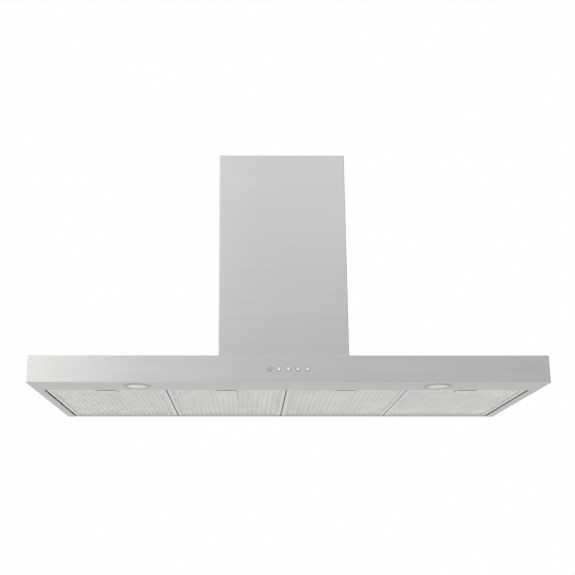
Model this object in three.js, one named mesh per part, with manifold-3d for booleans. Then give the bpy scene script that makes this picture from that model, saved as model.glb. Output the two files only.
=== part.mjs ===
// Box-canopy range hood for a wall, with a telescopic chimney cover.
// Millimetres. +X is to the right seen from the front, +Y goes into the wall, +Z is up.
// The origin lies on the wall plane, in the middle of the canopy's back.
import * as THREE from "three";
import { mergeVertices } from "three/addons/utils/BufferGeometryUtils.js";
import Module from "manifold-3d";

const wasm = await Module();
wasm.setup();

// ---------------------------------------------------------------- driving dimensions
const GAP = 0.3; // between pieces that touch
// Half the number of sides that a full circle, or any bend, is drawn with.
const ROUND = 10;
const SMALL = 5;
const FOLD = 1.5;

const WIDTH = 1200;
const DEPTH = 500;
const HEIGHT = 64;
const SHEET = 1.5;
const BEND = 2.5; // outer radius of the canopy's lower front bend
const TOP_BEND = 1.5;
const FRONT = -DEPTH;
const TOP = HEIGHT / 2;
const BOTTOM = -HEIGHT / 2;

const STRIP = 93; // lamp strip, front to back
const SIDE_FLANGE = 21;
const REAR_LIP = 12;
const HEM = 14;

const FILTER = { count: 4, width: 286, pitch: 288, depth: 388, thick: 10, rim: 10, wall: 1.2 };
const FILTER_BACK = -17;
const FILTER_BOTTOM = BOTTOM + 1;
const GROOVE = 2; // of the filter rim, where the mesh slides in
const RIB_PITCH = 14;
const RIB_SHEET = 1.1;
const TAB = { x: 90, half: 12, reach: 14, low: 3, sheet: 1.5 }; // rear tabs of a filter
const LATCH_HEIGHT = 7.7; // of the latch plate above the filter's lower face

const PAD = { width: 46, depth: 46, notch: 34, notchDepth: 7, wall: 1.5 };
const HOOK = { x: 400, half: 20, low: -12, top: 16, lip: 7 };
const SCREW = { head: 4.5, headDepth: 2.4, shank: 2.3, hole: 2.6, slotHalf: 3.5, slotDepth: 1 };

const CHIMNEY = { width: 340, depth: 250, height: 618, sheet: 1.2, flange: 18, bend: 2.5 };
const UPPER = { inset: 1.6, sheet: 1, flange: 14, bottom: 44, drop: 4, slots: 6, slotPitch: 12 };
const BRACKET = { plate: 138, arm: -22, tab: -40, height: 30, screwX: 100 };

const LAMP = { x: 351, fromFront: 46, bezel: 32, opening: 22.5 };

const BUTTON = { count: 5, pitch: 22, radius: 4.5, travel: 1.5, z: 0, collar: 1.7 };
const GUIDE = { halfWidth: 62, halfHeight: 11, thick: 3 };

const AIR_HOLE = { x: 145, front: -225, back: -20 };
const BOX = { x: 153, front: -232, back: -12, top: 271.5, sheet: 1.2 };
const SCROLL = { y: -124, z: 140, half: 73, start: 86, end: 108, cutoff: 75, top: 270, sheet: 1.5 };
const INLET_RADIUS = 66;
const IMPELLER = { outer: 78, inner: 64, half: 65, blades: 20 };
const SHAFT_RADIUS = 4;
const COLLAR = { y: -87, radius: 75, wall: 1.5, top: 342, flap: 300 };

const AXIS_X = new THREE.Vector3(1, 0, 0);
const AXIS_Y = new THREE.Vector3(0, 1, 0);
const AXIS_Z = new THREE.Vector3(0, 0, 1);

// ---------------------------------------------------------------- finishes
const finish = (color, roughness, metalness) =>
  new THREE.MeshStandardMaterial({ color, roughness, metalness });
const FINISH = {
  steel: finish(0xc6c6c3, 0.35, 1),
  galvanised: finish(0x9ea3a6, 0.5, 1),
  aluminium: finish(0xcfcfca, 0.4, 1),
  chrome: finish(0xdcdcdc, 0.15, 1),
  darkSteel: finish(0x4a4c50, 0.4, 1),
  blackPlastic: finish(0x1d1e20, 0.6, 0),
  greyPlastic: finish(0x6c6f72, 0.6, 0),
  lens: finish(0xf4f3ec, 0.3, 0),
  board: finish(0x1f5a38, 0.5, 0),
};

// ---------------------------------------------------------------- shape helpers
function solid(geometry) {
  const bare = geometry.index ? geometry.toNonIndexed() : geometry.clone();
  bare.deleteAttribute("normal");
  bare.deleteAttribute("uv");
  const merged = mergeVertices(bare, 1e-3);
  return new wasm.Manifold(
    new wasm.Mesh({
      numProp: 3,
      vertProperties: merged.attributes.position.array,
      triVerts: new Uint32Array(merged.index.array),
    }),
  );
}

function geometryOf(manifold) {
  const mesh = manifold.getMesh();
  return new THREE.BufferGeometry()
    .setAttribute("position", new THREE.BufferAttribute(mesh.vertProperties, 3))
    .setIndex(new THREE.BufferAttribute(mesh.triVerts, 1));
}

const join = (...pieces) => pieces.reduce((whole, piece) => whole.add(piece));
const cut = (whole, ...tools) => tools.reduce((left, tool) => left.subtract(tool), whole);

// A block between two corners.
function block([x0, y0, z0], [x1, y1, z1]) {
  const geometry = new THREE.BoxGeometry(x1 - x0, y1 - y0, z1 - z0);
  return solid(geometry.translate((x0 + x1) / 2, (y0 + y1) / 2, (z0 + z1) / 2));
}

// An outline swept along an axis: drawn in (y, z) for x, in (x, z) for y, in (x, y) for z.
function prism(outline, axis, from, to, steps = ROUND) {
  const geometry = new THREE.ExtrudeGeometry(outline, {
    depth: to - from,
    bevelEnabled: false,
    curveSegments: steps,
  });
  const turned = new THREE.Matrix4();
  if (axis === "x") turned.makeBasis(AXIS_Y, AXIS_Z, AXIS_X).setPosition(from, 0, 0);
  if (axis === "y") turned.makeBasis(AXIS_X, AXIS_Z, AXIS_Y.clone().negate()).setPosition(0, to, 0);
  if (axis === "z") turned.setPosition(0, 0, from);
  return solid(geometry.applyMatrix4(turned));
}

const polygon = (points) => new THREE.Shape(points.map(([u, v]) => new THREE.Vector2(u, v)));

function disc(radius, [u, v] = [0, 0]) {
  return new THREE.Shape().absarc(u, v, radius, 0, 2 * Math.PI, false);
}

function annulus(outer, inner, [u, v] = [0, 0]) {
  const shape = disc(outer, [u, v]);
  shape.holes.push(new THREE.Path().absarc(u, v, inner, 0, 2 * Math.PI, true));
  return shape;
}

// A rectangle with rounded corners on its low-v side only, left open at the start point.
function roundedLow(u0, u1, v0, v1, radius) {
  const shape = new THREE.Shape();
  shape.moveTo(u0, v1);
  shape.lineTo(u0, v0 + radius);
  shape.absarc(u0 + radius, v0 + radius, radius, Math.PI, 1.5 * Math.PI, false);
  shape.lineTo(u1 - radius, v0);
  shape.absarc(u1 - radius, v0 + radius, radius, 1.5 * Math.PI, 2 * Math.PI, false);
  shape.lineTo(u1, v1);
  return shape;
}

const hood = new THREE.Group();

// Adds one named piece to a group.
function piece(name, shape, material, group = hood) {
  const mesh = new THREE.Mesh(geometryOf(shape), material);
  mesh.name = name;
  group.add(mesh);
}

function groupAt(x, y, z) {
  const group = new THREE.Group();
  group.position.set(x, y, z);
  hood.add(group);
  return group;
}

const filterX = (i) => (i - (FILTER.count - 1) / 2) * FILTER.pitch;
const buttonX = (i) => (i - (BUTTON.count - 1) / 2) * BUTTON.pitch;
const SIDES = [
  ["left", -1],
  ["right", 1],
];

// ---------------------------------------------------------------- canopy
// Side outline of the canopy sheet: rounded at the lower and upper front bends, open to the back.
function canopyOutline(inset) {
  const lower = BEND - inset;
  const upper = Math.max(TOP_BEND - inset, 0.5);
  const front = FRONT + inset;
  const shape = new THREE.Shape();
  const back = inset ? 10 : -SHEET - GAP;
  shape.moveTo(back, TOP - inset);
  shape.lineTo(front + upper, TOP - inset);
  shape.absarc(front + upper, TOP - inset - upper, upper, 0.5 * Math.PI, Math.PI, false);
  shape.lineTo(front, BOTTOM + inset + lower);
  shape.absarc(front + lower, BOTTOM + inset + lower, lower, Math.PI, 1.5 * Math.PI, false);
  shape.lineTo(back, BOTTOM + inset);
  return shape;
}

function canopyShell() {
  const half = WIDTH / 2;
  const stripBack = FRONT + STRIP;
  const outside = prism(canopyOutline(0), "x", -half, half, FOLD);
  const inside = prism(canopyOutline(SHEET), "x", -half + SHEET, half - SHEET, FOLD);
  const filterOpening = block([-half + SIDE_FLANGE, stripBack, BOTTOM - 1], [half - SIDE_FLANGE, 1, 0]);
  const airHole = block([-AIR_HOLE.x, AIR_HOLE.front, 0], [AIR_HOLE.x, AIR_HOLE.back, TOP + 1]);
  const hem = block(
    [-half + SIDE_FLANGE, stripBack - SHEET, BOTTOM + SHEET / 2],
    [half - SIDE_FLANGE, stripBack, BOTTOM + HEM],
  );
  let shell = join(cut(outside, inside, filterOpening, airHole), hem);
  const tongue = FILTER_BOTTOM + LATCH_HEIGHT;
  for (let i = 0; i < FILTER.count; i++) {
    const x = filterX(i);
    shell = cut(shell, block([x - 12, stripBack - 3, tongue - 1.5], [x + 12, stripBack + 1, tongue + 3]));
  }
  for (let i = 0; i < BUTTON.count; i++) {
    const hole = disc(BUTTON.radius + 1.3, [buttonX(i), BUTTON.z]);
    shell = cut(shell, prism(hole, "y", FRONT - 1, FRONT + 3, SMALL));
  }
  for (const [, side] of SIDES) {
    const hole = disc(LAMP.bezel - 4, [side * LAMP.x, FRONT + LAMP.fromFront]);
    shell = cut(shell, prism(hole, "z", BOTTOM - 1, BOTTOM + 3));
  }
  piece("canopy_shell", shell, FINISH.steel);
}

function backPanel() {
  const half = WIDTH / 2;
  const sheet = block([-half, -SHEET, BOTTOM], [half, 0, TOP]);
  const lipHalf = half - SIDE_FLANGE - GAP;
  const lip = block([-lipHalf, -REAR_LIP, BOTTOM], [lipHalf, -SHEET / 2, BOTTOM + SHEET]);
  let panel = join(sheet, lip);
  for (const [, side] of SIDES) {
    const x = side * HOOK.x;
    const window = block([x - HOOK.half - 2, -3, HOOK.low - 2], [x + HOOK.half + 2, 1, HOOK.top + GAP]);
    panel = cut(panel, window);
  }
  piece("back_panel", panel, FINISH.galvanised);
}

// A slotted pan-head screw through a sheet on the wall plane, drawn about its own axis.
function wallScrew() {
  const seat = -SHEET - GAP;
  const head = prism(disc(SCREW.head), "y", seat - SCREW.headDepth, seat, SMALL);
  const slot = block(
    [-SCREW.slotHalf, seat - SCREW.headDepth - 1, -0.5],
    [SCREW.slotHalf, seat - SCREW.headDepth + SCREW.slotDepth, 0.5],
  );
  const shank = prism(disc(SCREW.shank), "y", seat - 0.5, -0.2, SMALL);
  return join(cut(head, slot), shank);
}

// A wall hook: a flat plate in the panel's window, with a tongue and an upturned lip inside the canopy.
function wallHooks() {
  const outline = polygon([
    [0, HOOK.low],
    [0, HOOK.top],
    [-5, HOOK.top],
    [-5, HOOK.top + HOOK.lip],
    [-7, HOOK.top + HOOK.lip],
    [-7, HOOK.top - 2],
    [-SHEET, HOOK.top - 2],
    [-SHEET, HOOK.low],
  ]);
  const screwHole = prism(disc(SCREW.hole), "y", -4, 1, SMALL);
  const hook = cut(prism(outline, "x", -HOOK.half, HOOK.half), screwHole);
  const screw = wallScrew();
  for (const [name, side] of SIDES) {
    const group = groupAt(side * HOOK.x, 0, 0);
    piece("wall_hook_" + name, hook, FINISH.galvanised, group);
    piece("hook_screw_" + name, screw, FINISH.darkSteel, group);
  }
}

// ---------------------------------------------------------------- grease filters
// Drawn about the middle of the filter's rear lower edge.
function filterFrame() {
  const half = FILTER.width / 2;
  const rim = FILTER.rim;
  const padHalf = PAD.width / 2;
  const front = -FILTER.depth;
  const body = block([-half, front, 0], [half, 0, FILTER.thick]);
  const window = block([-half + rim, front + rim, -1], [half - rim, -rim, FILTER.thick + 1]);
  const groove = block(
    [-half + GROOVE, front + GROOVE, GROOVE],
    [half - GROOVE, -GROOVE, FILTER.thick - GROOVE],
  );
  const padBack = front + PAD.depth;
  const pad = block([-padHalf, front + 1, 0], [padHalf, padBack, FILTER.wall]);
  const walls = join(
    block([-padHalf, front + 1, 0], [-padHalf + PAD.wall, padBack, FILTER.thick - 1]),
    block([padHalf - PAD.wall, front + 1, 0], [padHalf, padBack, FILTER.thick - 1]),
    block([-padHalf, padBack - PAD.wall, 0], [padHalf, padBack, FILTER.thick - 1]),
  );
  const notchHalf = PAD.notch / 2;
  const notch = block([-notchHalf, front - 1, -1], [notchHalf, front + PAD.notchDepth, FILTER.thick + 1]);
  const slide = block(
    [-padHalf + PAD.wall, front - 1, FILTER.wall],
    [padHalf - PAD.wall, padBack - PAD.wall, FILTER.thick + 1],
  );
  let frame = cut(join(cut(body, window, groove), pad, walls), notch, slide);
  for (const x of [-TAB.x, TAB.x]) {
    const tab = block([x - TAB.half, -TAB.sheet, TAB.low], [x + TAB.half, TAB.reach, TAB.low + TAB.sheet]);
    frame = join(frame, tab);
  }
  return frame;
}

// The ribbed mesh, as a folded sheet whose ribs run from front to back.
function filterMesh() {
  const inset = GROOVE + GAP;
  const half = FILTER.width / 2 - inset;
  const low = inset;
  const high = FILTER.thick - inset;
  const folds = Math.round((2 * half) / (RIB_PITCH / 2));
  const step = (2 * half) / folds;
  const lower = [];
  const upper = [];
  for (let i = 0; i <= folds; i++) {
    const x = -half + i * step;
    const z = i % 2 ? high - RIB_SHEET : low;
    lower.push([x, z]);
    upper.unshift([x, z + RIB_SHEET]);
  }
  const sheet = prism(polygon([...lower, ...upper]), "y", -FILTER.depth + inset, -inset);
  const padHalf = PAD.width / 2 + GAP;
  const latchRoom = block([-padHalf, -FILTER.depth - 1, 0], [padHalf, -FILTER.depth + PAD.depth + GAP, 20]);
  return cut(sheet, latchRoom);
}

// The sprung latch: a plate between the pad's walls, with a tongue to the front and a finger tab below.
function filterLatch() {
  const half = PAD.width / 2 - PAD.wall - GAP;
  const front = -FILTER.depth;
  const low = LATCH_HEIGHT;
  const high = low + SHEET;
  const plate = block([-half, front + 8, low], [half, front + 34, high]);
  const tongue = block([-9, front - 1.5, low], [9, front + 9, high]);
  const tab = block([-16, front + 8, 2], [16, front + 9.5, high - 0.5]);
  return join(plate, tongue, tab);
}

function filters() {
  const frame = filterFrame();
  const mesh = filterMesh();
  const latch = filterLatch();
  for (let i = 0; i < FILTER.count; i++) {
    const group = groupAt(filterX(i), FILTER_BACK, FILTER_BOTTOM);
    const number = i + 1;
    piece("filter_frame_" + number, frame, FINISH.aluminium, group);
    piece("filter_mesh_" + number, mesh, FINISH.aluminium, group);
    piece("filter_latch_" + number, latch, FINISH.chrome, group);
  }
}

// ---------------------------------------------------------------- lamps
// Drawn about the lamp's axis, at the level of the strip's lower face.
function lamps() {
  const tube = LAMP.bezel - 4.5;
  const bezel = join(
    prism(annulus(LAMP.bezel, LAMP.opening), "z", -1.3, -GAP),
    prism(annulus(tube, tube - 2.5), "z", -0.8, 16),
  );
  const lens = join(
    prism(disc(LAMP.opening - GAP), "z", -1.2, 1),
    prism(disc(tube - 2.8), "z", 0, 1.5),
  );
  let housing = join(
    prism(disc(tube - 2.8), "z", 1.8, 16.3),
    prism(disc(tube), "z", 16.3, 18.3),
    prism(disc(8), "z", 18, 34, SMALL),
  );
  for (let i = -3; i <= 3; i++) {
    const reach = Math.sqrt((tube - 1) ** 2 - (i * 7) ** 2);
    housing = join(housing, block([-reach, i * 7 - 0.9, 18], [reach, i * 7 + 0.9, 36]));
  }
  for (const [name, side] of SIDES) {
    const group = groupAt(side * LAMP.x, FRONT + LAMP.fromFront, BOTTOM);
    piece("lamp_bezel_" + name, bezel, FINISH.steel, group);
    piece("lamp_lens_" + name, lens, FINISH.lens, group);
    piece("lamp_housing_" + name, housing, FINISH.darkSteel, group);
  }
  const driver = block([-60, -32, 0], [60, 32, 20]);
  const terminals = join(
    block([60, -12, 4], [66, 12, 14]),
    block([-66, -12, 4], [-60, 12, 14]),
  );
  const ledge = groupAt(190, FRONT + 45, BOTTOM + SHEET + GAP);
  piece("lamp_driver", join(driver, terminals), FINISH.blackPlastic, ledge);
}

// ---------------------------------------------------------------- controls
// Depths are measured from the front face into the canopy.
function controls() {
  const guideFront = SHEET + GAP;
  const guideBack = guideFront + GUIDE.thick;
  const flangeFront = guideBack + GAP;
  const flangeBack = flangeFront + 1.5;
  const stemBack = flangeBack + 1.9;
  const switchFront = stemBack + BUTTON.travel + GAP;
  const boardFront = switchFront + 3.7;
  const group = groupAt(0, FRONT, BUTTON.z);

  const { halfWidth, halfHeight } = GUIDE;
  let guide = block([-halfWidth, guideFront, -halfHeight], [halfWidth, guideBack, halfHeight]);
  let board = block([2 - halfWidth, boardFront, -halfHeight], [halfWidth - 2, boardFront + 1.6, halfHeight]);
  for (let i = 0; i < BUTTON.count; i++) {
    const at = [buttonX(i), 0];
    guide = join(guide, prism(disc(BUTTON.radius + 1, at), "y", -0.6, guideFront + 1, SMALL));
    guide = cut(guide, prism(disc(BUTTON.radius + GAP, at), "y", -2, guideBack + 1, SMALL));
    board = join(board, block([at[0] - 3, switchFront + 1, -3], [at[0] + 3, boardFront + 0.5, 3]));
    board = join(board, prism(disc(1.7, at), "y", switchFront, switchFront + 1.5, 3));
  }
  for (const x of [6 - halfWidth, halfWidth - 6]) {
    guide = join(guide, prism(disc(3, [x, 0]), "y", guideBack - 1, boardFront - GAP, SMALL));
  }
  const button = join(
    prism(disc(BUTTON.radius), "y", -1.2, flangeFront + 0.5, SMALL),
    prism(disc(BUTTON.radius + BUTTON.collar), "y", flangeFront, flangeBack, SMALL),
    prism(disc(2), "y", flangeBack - 0.5, stemBack, SMALL),
  );
  piece("button_guide", guide, FINISH.chrome, group);
  piece("control_board", board, FINISH.board, group);
  for (let i = 0; i < BUTTON.count; i++) {
    const cap = i === 0 ? FINISH.darkSteel : FINISH.chrome;
    piece("button_" + (i + 1), button, cap, groupAt(buttonX(i), FRONT, BUTTON.z));
  }
}

// ---------------------------------------------------------------- chimney
// A cover bent from one sheet: front, two sides and two narrow flanges along the wall, drawn in (x, y).
function coverOutline(halfWidth, front, back, sheet, flange, bend) {
  const outer = roundedLow(-halfWidth, halfWidth, front, back, bend);
  const inner = halfWidth - sheet;
  outer.lineTo(halfWidth - flange, back);
  outer.lineTo(halfWidth - flange, back - sheet);
  outer.lineTo(inner, back - sheet);
  outer.lineTo(inner, front + bend);
  outer.absarc(halfWidth - bend, front + bend, bend - sheet, 0, -0.5 * Math.PI, true);
  outer.lineTo(-halfWidth + bend, front + sheet);
  outer.absarc(-halfWidth + bend, front + bend, bend - sheet, 1.5 * Math.PI, Math.PI, true);
  outer.lineTo(-inner, back - sheet);
  outer.lineTo(-halfWidth + flange, back - sheet);
  outer.lineTo(-halfWidth + flange, back);
  return outer;
}

function chimney() {
  const top = TOP + CHIMNEY.height;
  const half = CHIMNEY.width / 2;
  const lower = coverOutline(half, -CHIMNEY.depth, 0, CHIMNEY.sheet, CHIMNEY.flange, CHIMNEY.bend);
  piece("chimney_lower", prism(lower, "z", TOP + GAP, top, FOLD), FINISH.steel);

  const upperHalf = half - UPPER.inset;
  const upperTop = top - UPPER.drop;
  const upper = coverOutline(
    upperHalf,
    -CHIMNEY.depth + UPPER.inset,
    -UPPER.inset,
    UPPER.sheet,
    UPPER.flange,
    CHIMNEY.bend - 0.9,
  );
  let cover = prism(upper, "z", UPPER.bottom, upperTop, FOLD);
  for (let i = 0; i < UPPER.slots; i++) {
    const z = upperTop - 40 - i * UPPER.slotPitch;
    for (const [, side] of SIDES) {
      const x = side * upperHalf;
      cover = cut(cover, block([x - 4, -180, z], [x + 4, -60, z + 5]));
    }
  }
  piece("chimney_upper", cover, FINISH.steel);
  chimneyBracket(upperHalf - UPPER.sheet - 0.6, upperTop - 8);
}

// The upper cover's wall bracket: a flat back plate with arms that step out to the cover's sides.
function bracketArm(side, reach, top) {
  const { plate, arm, tab, height } = BRACKET;
  const points = [
    [plate, 0],
    [plate, arm + SHEET],
    [reach - SHEET, arm + SHEET],
    [reach - SHEET, tab],
    [reach, tab],
    [reach, arm + 2 * SHEET],
    [plate + SHEET, arm + 2 * SHEET],
    [plate + SHEET, 0],
  ].map(([x, y]) => [side * x, y]);
  return prism(polygon(points), "z", top - height, top);
}

function chimneyBracket(reach, top) {
  const { plate, height, screwX } = BRACKET;
  const half = plate + SHEET / 2;
  let bracket = block([-half, -SHEET, top - height], [half, 0, top]);
  for (const [, side] of SIDES) {
    const hole = prism(disc(SCREW.hole, [side * screwX, top - height / 2]), "y", -4, 1, SMALL);
    bracket = cut(join(bracket, bracketArm(side, reach, top)), hole);
  }
  piece("chimney_bracket", bracket, FINISH.galvanised);
  const screw = wallScrew();
  for (const [name, side] of SIDES) {
    const group = groupAt(side * screwX, 0, top - height / 2);
    piece("bracket_screw_" + name, screw, FINISH.darkSteel, group);
  }
}

// ---------------------------------------------------------------- blower
function blowerBox() {
  const low = TOP + GAP;
  const outer = block([-BOX.x, BOX.front, low], [BOX.x, BOX.back, BOX.top]);
  const inner = block(
    [-BOX.x + BOX.sheet, BOX.front + BOX.sheet, low + BOX.sheet],
    [BOX.x - BOX.sheet, BOX.back - BOX.sheet, BOX.top - BOX.sheet],
  );
  const mouth = block([-AIR_HOLE.x, AIR_HOLE.front, low - 1], [AIR_HOLE.x, AIR_HOLE.back, low + 3]);
  const outletHalf = SCROLL.half - 2;
  const outlet = block([-outletHalf, COLLAR.y - 70, BOX.top - 3], [outletHalf, COLLAR.y + 70, BOX.top + 1]);
  piece("blower_box", cut(outer, inner, mouth, outlet), FINISH.galvanised);
}

// Scroll outline in (y, z): a spiral from the cut-off round to the back, then straight up to the outlet.
function scrollOutline(inset, top) {
  const points = [];
  const steps = 26;
  const first = THREE.MathUtils.degToRad(SCROLL.cutoff);
  const turn = 2 * Math.PI - first;
  for (let i = 0; i <= steps; i++) {
    const angle = first + (turn * i) / steps;
    const radius = SCROLL.start + ((SCROLL.end - SCROLL.start) * i) / steps - inset;
    points.push([SCROLL.y + radius * Math.cos(angle), SCROLL.z + radius * Math.sin(angle)]);
  }
  points.push([SCROLL.y + SCROLL.end - inset, top]);
  points.push([SCROLL.y - 34 + inset, top]);
  return polygon(points);
}

function scrollHousing() {
  const inner = SCROLL.half - SCROLL.sheet;
  const centre = [SCROLL.y, SCROLL.z];
  const scroll = cut(
    prism(scrollOutline(0, SCROLL.top - GAP), "x", -SCROLL.half, SCROLL.half),
    prism(scrollOutline(SCROLL.sheet, SCROLL.top + 5), "x", -inner, inner),
    prism(disc(INLET_RADIUS, centre), "x", -SCROLL.half - 1, SCROLL.half + 1),
  );
  piece("scroll_housing", scroll, FINISH.galvanised);
  const ring = join(
    prism(annulus(82, INLET_RADIUS), "x", 0, 1.5),
    prism(annulus(INLET_RADIUS + 2, INLET_RADIUS), "x", 0, 5),
  );
  for (const [name, side] of SIDES) {
    const group = groupAt(side * (SCROLL.half + GAP), SCROLL.y, SCROLL.z);
    group.rotation.z = side < 0 ? Math.PI : 0;
    piece("inlet_ring_" + name, ring, FINISH.aluminium, group);
  }
}

// A double-inlet wheel: a middle disc on a hub, blades through it, and a ring at each end.
function impeller() {
  const group = groupAt(0, SCROLL.y, SCROLL.z);
  const rim = (from) => prism(annulus(IMPELLER.outer, IMPELLER.inner), "x", from, from + 2);
  let wheel = join(
    prism(disc(IMPELLER.outer), "x", -1, 1),
    prism(disc(13), "x", -14, 14, SMALL),
    rim(-IMPELLER.half),
    rim(IMPELLER.half - 2),
  );
  const reach = IMPELLER.outer - IMPELLER.inner;
  for (let i = 0; i < IMPELLER.blades; i++) {
    const blade = new THREE.BoxGeometry(2 * IMPELLER.half - 2, reach - 2, 1.4);
    blade.rotateX(THREE.MathUtils.degToRad(25));
    blade.translate(0, IMPELLER.inner + reach / 2, 0);
    blade.rotateX((2 * Math.PI * i) / IMPELLER.blades);
    wheel = join(wheel, solid(blade));
  }
  wheel = cut(wheel, prism(disc(SHAFT_RADIUS + GAP), "x", -20, 20, SMALL));
  piece("impeller", wheel, FINISH.greyPlastic, group);
  piece("motor_shaft", prism(disc(SHAFT_RADIUS), "x", -122, 18, SMALL), FINISH.chrome, group);

  const bore = prism(disc(SHAFT_RADIUS + GAP), "x", -130, 0, SMALL);
  const body = join(
    prism(disc(42), "x", -104, -34),
    prism(disc(30), "x", -114, -24),
    prism(disc(12), "x", -119, -18, SMALL),
  );
  piece("motor", cut(body, bore), FINISH.darkSteel, group);
  motorBracket(group);
}

// Three straps from a ring round the motor to the scroll's side.
function motorBracket(group) {
  const sideFace = -SCROLL.half - GAP;
  let bracket = prism(annulus(46, 42 + GAP), "x", -100, -90);
  for (const degrees of [40, 180, 290]) {
    const strap = new THREE.BoxGeometry(3, 46, 14).translate(-98.5, 44 + 23, 0);
    const leg = new THREE.BoxGeometry(100 + sideFace, 4, 14);
    leg.translate((-100 + sideFace) / 2, 88, 0);
    for (const part of [strap, leg]) {
      part.rotateX(THREE.MathUtils.degToRad(degrees));
      bracket = join(bracket, solid(part));
    }
  }
  piece("motor_bracket", bracket, FINISH.galvanised, group);
}

// ---------------------------------------------------------------- outlet
function outlet() {
  const centre = [0, COLLAR.y];
  const low = BOX.top + GAP;
  const innerRadius = COLLAR.radius - COLLAR.wall;
  const pinZ = COLLAR.flap;
  const collar = cut(
    join(
      block([-78, COLLAR.y - 75, low], [78, COLLAR.y + 75, low + 1.5]),
      prism(disc(COLLAR.radius, centre), "z", low, COLLAR.top),
    ),
    prism(disc(innerRadius - 3, centre), "z", low - 1, COLLAR.top + 1),
    prism(disc(innerRadius, centre), "z", low + 1.5, pinZ - 4),
    prism(disc(innerRadius, centre), "z", pinZ - 2, COLLAR.top + 1),
    prism(disc(2, [COLLAR.y, pinZ + 1.6]), "x", -100, 100, SMALL),
  );
  piece("duct_collar", collar, FINISH.blackPlastic);

  const pin = groupAt(0, COLLAR.y, pinZ + 1.6);
  piece("flap_pin", prism(disc(1.5), "x", -COLLAR.radius, COLLAR.radius, SMALL), FINISH.chrome, pin);
  piece("flap_front", flap(-1, [-50, 10]), FINISH.greyPlastic, pin);
  piece("flap_rear", flap(1, [-10, 50]), FINISH.greyPlastic, pin);
}

// Half a disc with two eyes round the pin, drawn about the pin's middle.
function flap(side, eyes) {
  const radius = COLLAR.radius - COLLAR.wall - 0.7;
  const low = -3.2;
  const sheet = prism(disc(radius), "z", low, low + 1.2);
  const clear = 4;
  const away = side < 0 ? block([-90, -clear, -9], [90, 90, 9]) : block([-90, -90, -9], [90, clear, 9]);
  let shape = cut(sheet, away);
  for (const x of eyes) {
    const near = side * 1.5;
    const far = side * (clear + 3);
    const web = block([x - 6, Math.min(near, far), low], [x + 6, Math.max(near, far), low + 1.2]);
    shape = join(shape, web, prism(disc(3.2), "x", x - 6, x + 6, SMALL));
  }
  return cut(shape, prism(disc(1.5 + GAP), "x", -100, 100, SMALL));
}

// ---------------------------------------------------------------- electrics on the blower box
function electrics() {
  const low = BOX.top + GAP;
  const group = groupAt(115, -85, low);
  const box = cut(
    block([-31, -35, 0], [31, 35, 34]),
    block([-29, -33, 2], [29, 33, 40]),
    prism(disc(6.3, [0, 17]), "y", 30, 40, SMALL),
  );
  const cover = join(
    block([-31.5, -35.5, 34.3], [31.5, 35.5, 36.3]),
    block([-28.5, -32.5, 32], [28.5, 32.5, 34.8]),
  );
  const gland = cut(
    join(
      prism(disc(6), "y", 31, 48, SMALL),
      prism(disc(10), "y", 35.3, 40, SMALL),
      prism(disc(8.5), "y", 42, 50, SMALL),
    ),
    prism(disc(4), "y", 20, 60, SMALL),
  );
  piece("junction_box", box, FINISH.blackPlastic, group);
  piece("junction_box_cover", cover, FINISH.blackPlastic, group);
  const glandGroup = groupAt(115, -85, low + 17);
  piece("cable_gland", gland, FINISH.greyPlastic, glandGroup);
  const can = groupAt(-115, -100, low + 17.5);
  const capacitor = join(
    prism(disc(16), "y", -30, 30),
    prism(disc(10), "y", 29, 33, SMALL),
    block([-18, -12, -17.5], [18, 12, -12]),
  );
  piece("capacitor", capacitor, FINISH.greyPlastic, can);
}

canopyShell();
backPanel();
wallHooks();
filters();
lamps();
controls();
chimney();
blowerBox();
scrollHousing();
impeller();
outlet();
electrics();

export default hood;
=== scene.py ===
"""Looks of a wall range hood: brushed canopy and chimney, mesh grease filters, lamps, buttons and blower.

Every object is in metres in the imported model's frame: +X right seen from the front, +Y into the wall, +Z up.
Dimensions written here are millimetres, and the mesh helpers turn them into metres.
"""

import math

import bmesh
import bpy
from mathutils import Matrix, Vector


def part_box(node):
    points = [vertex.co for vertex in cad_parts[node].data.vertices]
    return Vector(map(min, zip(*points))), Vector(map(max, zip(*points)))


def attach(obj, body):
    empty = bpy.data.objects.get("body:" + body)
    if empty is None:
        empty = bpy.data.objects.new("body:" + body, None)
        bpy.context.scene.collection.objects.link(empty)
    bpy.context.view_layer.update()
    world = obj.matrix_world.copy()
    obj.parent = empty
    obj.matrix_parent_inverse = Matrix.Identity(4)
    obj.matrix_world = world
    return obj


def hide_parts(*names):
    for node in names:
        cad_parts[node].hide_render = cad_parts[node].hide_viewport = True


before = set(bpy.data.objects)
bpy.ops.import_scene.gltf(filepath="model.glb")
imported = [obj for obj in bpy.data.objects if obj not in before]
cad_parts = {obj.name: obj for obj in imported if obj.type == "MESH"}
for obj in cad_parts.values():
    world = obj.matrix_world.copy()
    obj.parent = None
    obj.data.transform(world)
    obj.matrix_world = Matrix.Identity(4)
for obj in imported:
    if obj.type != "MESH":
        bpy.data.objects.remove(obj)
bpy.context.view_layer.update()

MM = 0.001

FILTERS = (1, 2, 3, 4)
BUTTONS = (1, 2, 3, 4, 5)
SIDES = (("left", -1), ("right", 1))

# Canopy and rear panel.
SHEET = 1.5
BEND = 2.5
SMALL_BEND_SHARE = 0.4
HEM_HEIGHT = 14
LIP_REACH = 3  # of the rear lip, past the CAD lip
TONGUE_SLOT_HALF, TONGUE_SLOT_LOW, TONGUE_SLOT_HIGH = 12, -24.8, -20.3
HOOK_WINDOW_TOP = 16.3
PANEL_SCREW_COLUMNS = (-560, -290, -210, 210, 290, 560)

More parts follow.
